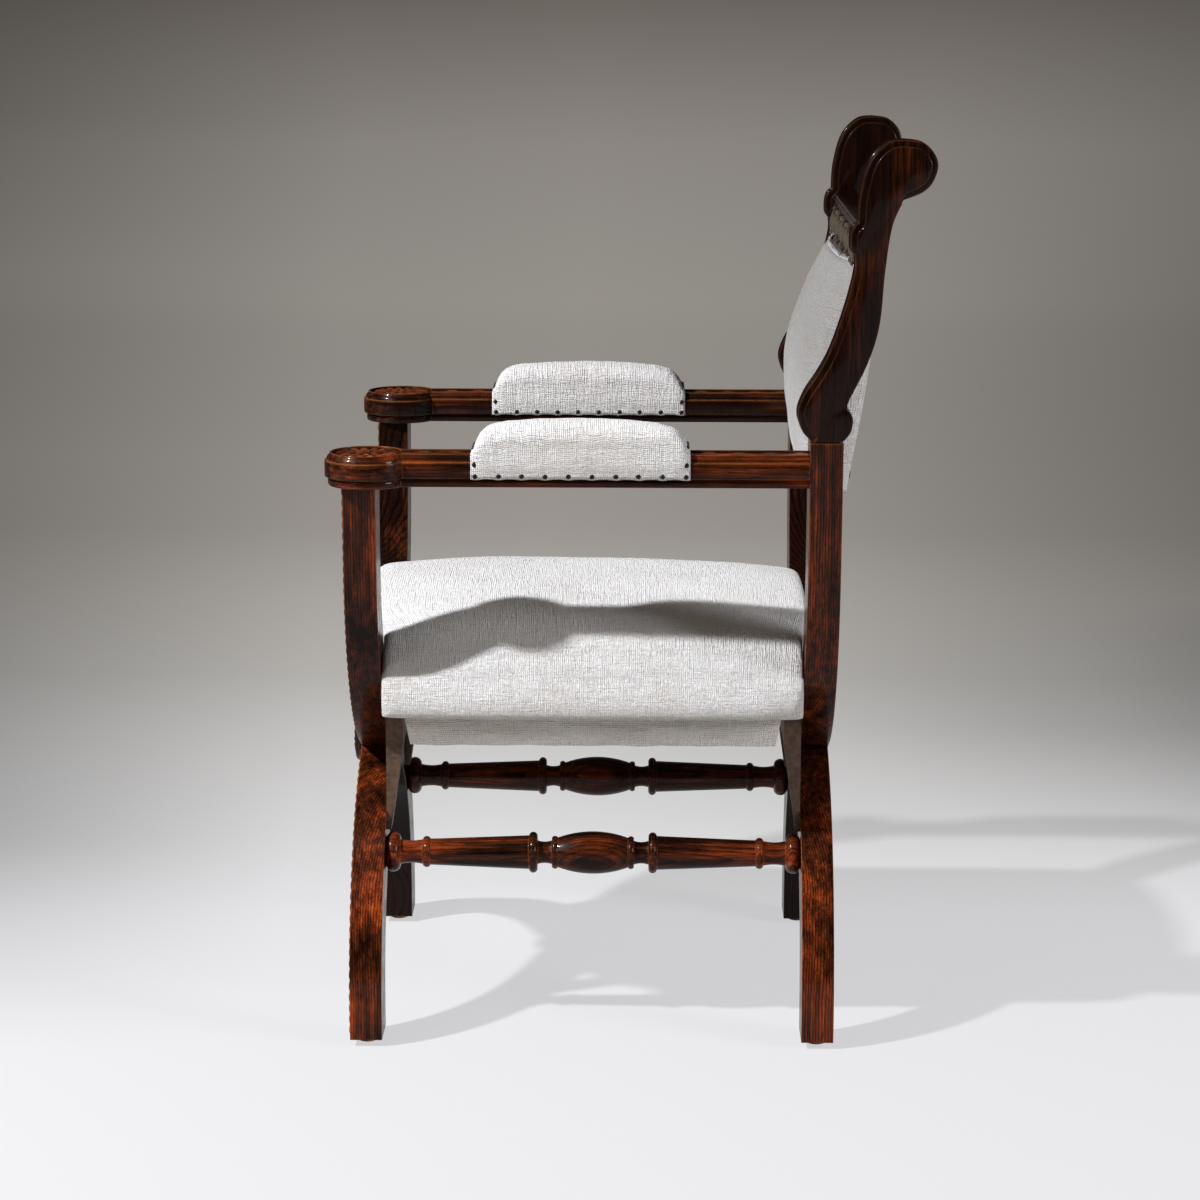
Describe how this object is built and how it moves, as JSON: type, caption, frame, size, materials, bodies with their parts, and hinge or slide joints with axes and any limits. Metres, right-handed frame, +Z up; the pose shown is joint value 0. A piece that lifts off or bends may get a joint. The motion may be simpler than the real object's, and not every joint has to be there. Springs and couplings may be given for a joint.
{
  "type": "savonarola chair",
  "caption": "Savonarola armchair with crossed front and rear oak frames, turned side stretchers, scrolled back uprights, and a stuffed linen seat, back and arm pads.",
  "frame": {"origin": "centre of the chair's overall width and depth, on the floor", "axes": "+X to the sitter's left, the chair faces -Y, +Z up"},
  "size_m": [0.6142, 0.6789, 1.0441],
  "materials": {
    "oak": "dark stained and varnished oak",
    "beech": "bare beech, inside",
    "linen": "coarse off-white linen",
    "jute": "jute webbing and dust cloth",
    "horsehair": "curled hair stuffing",
    "black_nail": "blackened steel",
    "screw_steel": "plain steel",
    "felt": "felt glide"
  },
  "bodies": {
    "root": {"front_member_left": "oak", "front_member_right": "oak", "rear_member_left": "oak", "rear_member_right": "oak", "front_boss": "oak", "crossing_pegs": "oak", "stretcher_left": "oak", "stretcher_right": "oak", "arm_left": "oak", "arm_right": "oak", "upright_left": "oak", "upright_right": "oak", "crest_rail": "oak", "upright_dowels": "beech", "crest_dowels": "beech", "seat_rail_front": "beech", "seat_rail_rear": "beech", "seat_rail_left": "beech", "seat_rail_right": "beech", "back_bottom_rail": "beech", "bearer_front": "oak", "bearer_rear": "oak", "bearer_brackets": "oak", "arm_pad_left": "linen", "arm_pad_right": "linen", "back_cushion": "linen", "outside_back_cloth": "linen", "seat_cover": "linen", "seat_side_cloth_left": "linen", "seat_side_cloth_right": "linen", "seat_straps_lengthwise": "jute", "seat_straps_crosswise": "jute", "back_straps": "jute", "seat_bottom_cloth": "jute", "seat_stuffing": "horsehair", "arm_nails_left": "black_nail", "arm_nails_right": "black_nail", "seat_tacks": "black_nail", "back_tacks": "black_nail", "bearer_screws": "screw_steel", "foot_pad_front_left": "felt", "foot_pad_front_right": "felt", "foot_pad_rear_left": "felt", "foot_pad_rear_right": "felt"}
  },
  "joints": []
}
